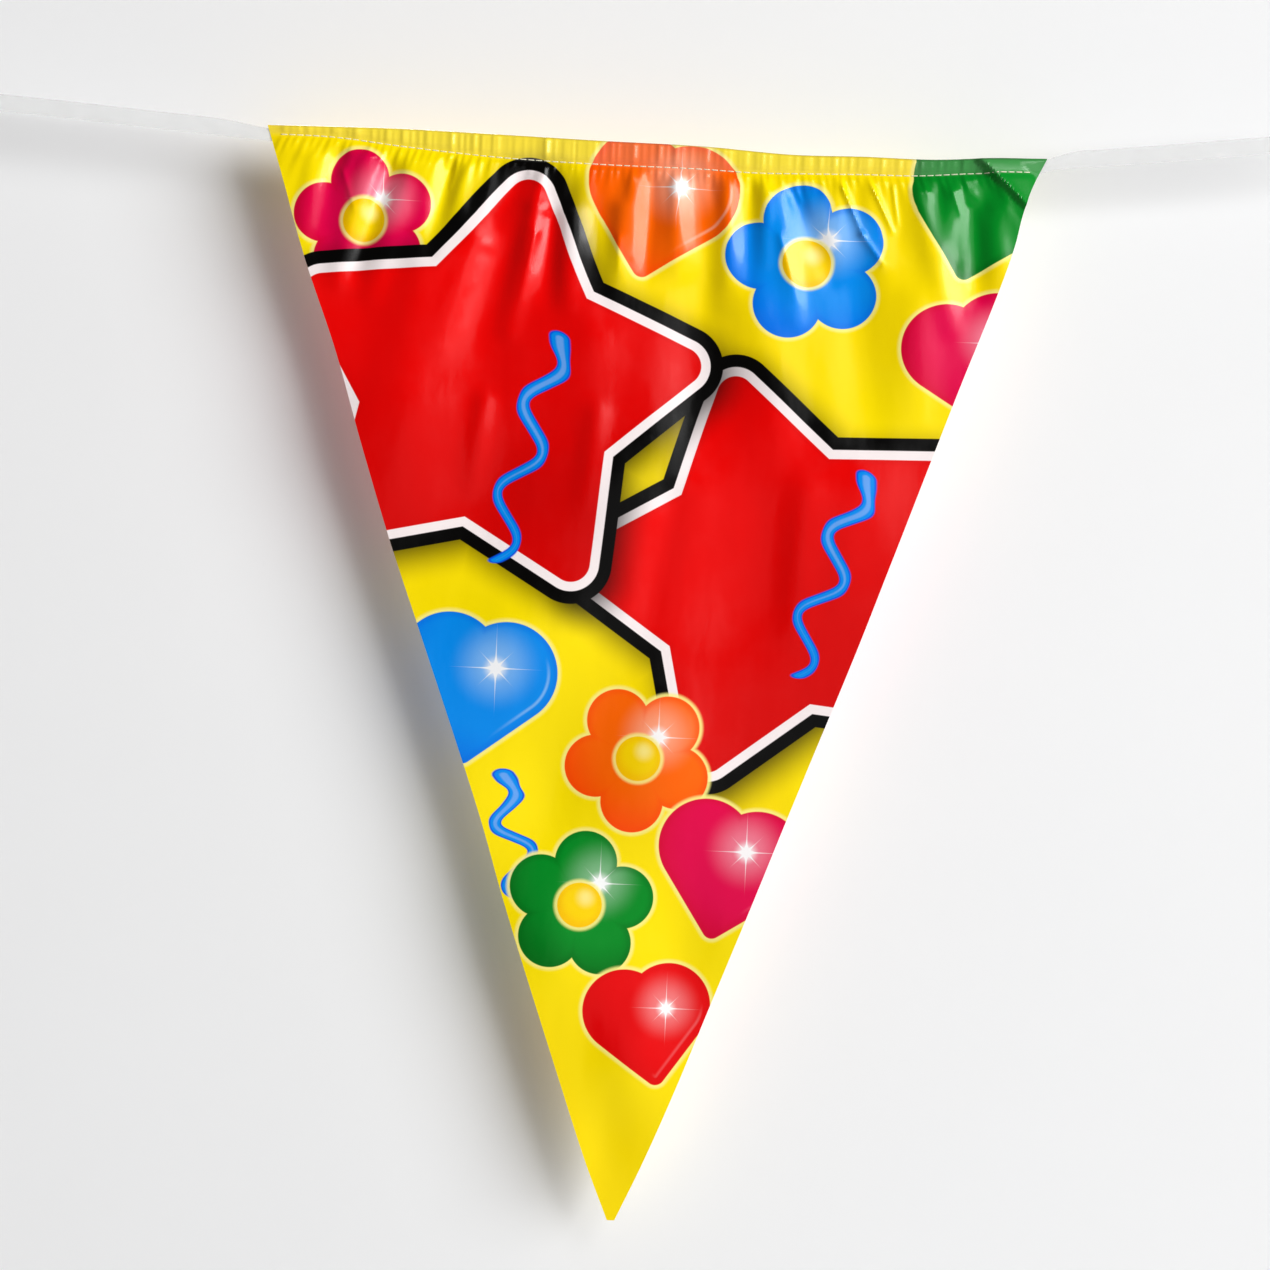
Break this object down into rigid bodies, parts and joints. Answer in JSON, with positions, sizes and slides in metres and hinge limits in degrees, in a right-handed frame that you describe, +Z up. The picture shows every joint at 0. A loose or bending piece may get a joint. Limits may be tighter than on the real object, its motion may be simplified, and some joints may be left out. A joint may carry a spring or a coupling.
{
  "type": "birthday pennant banner",
  "caption": "Long triangular plastic-film party pennant with its top edge folded over, gathered and sewn on a narrow white carrying tape that runs on past both corners.",
  "frame": {"origin": "middle of the straight line between the pennant's two top corners, in the middle of the tape's thickness", "axes": "+X to the right along the tape, +Y to the back, towards the wall, and +Z up; the printed front faces -Y"},
  "size_m": [0.378, 0.0064, 0.3044],
  "materials": {
    "printed_film": "thin glossy plastic film, printed on the front in yellow, red, pink, orange, green and blue with black and white outlines, paler on the back",
    "white_tape": "narrow white film tape, slightly satin, folded once along its length"
  },
  "bodies": {
    "root": {"pennant": "printed_film", "tape": "white_tape"}
  },
  "joints": []
}
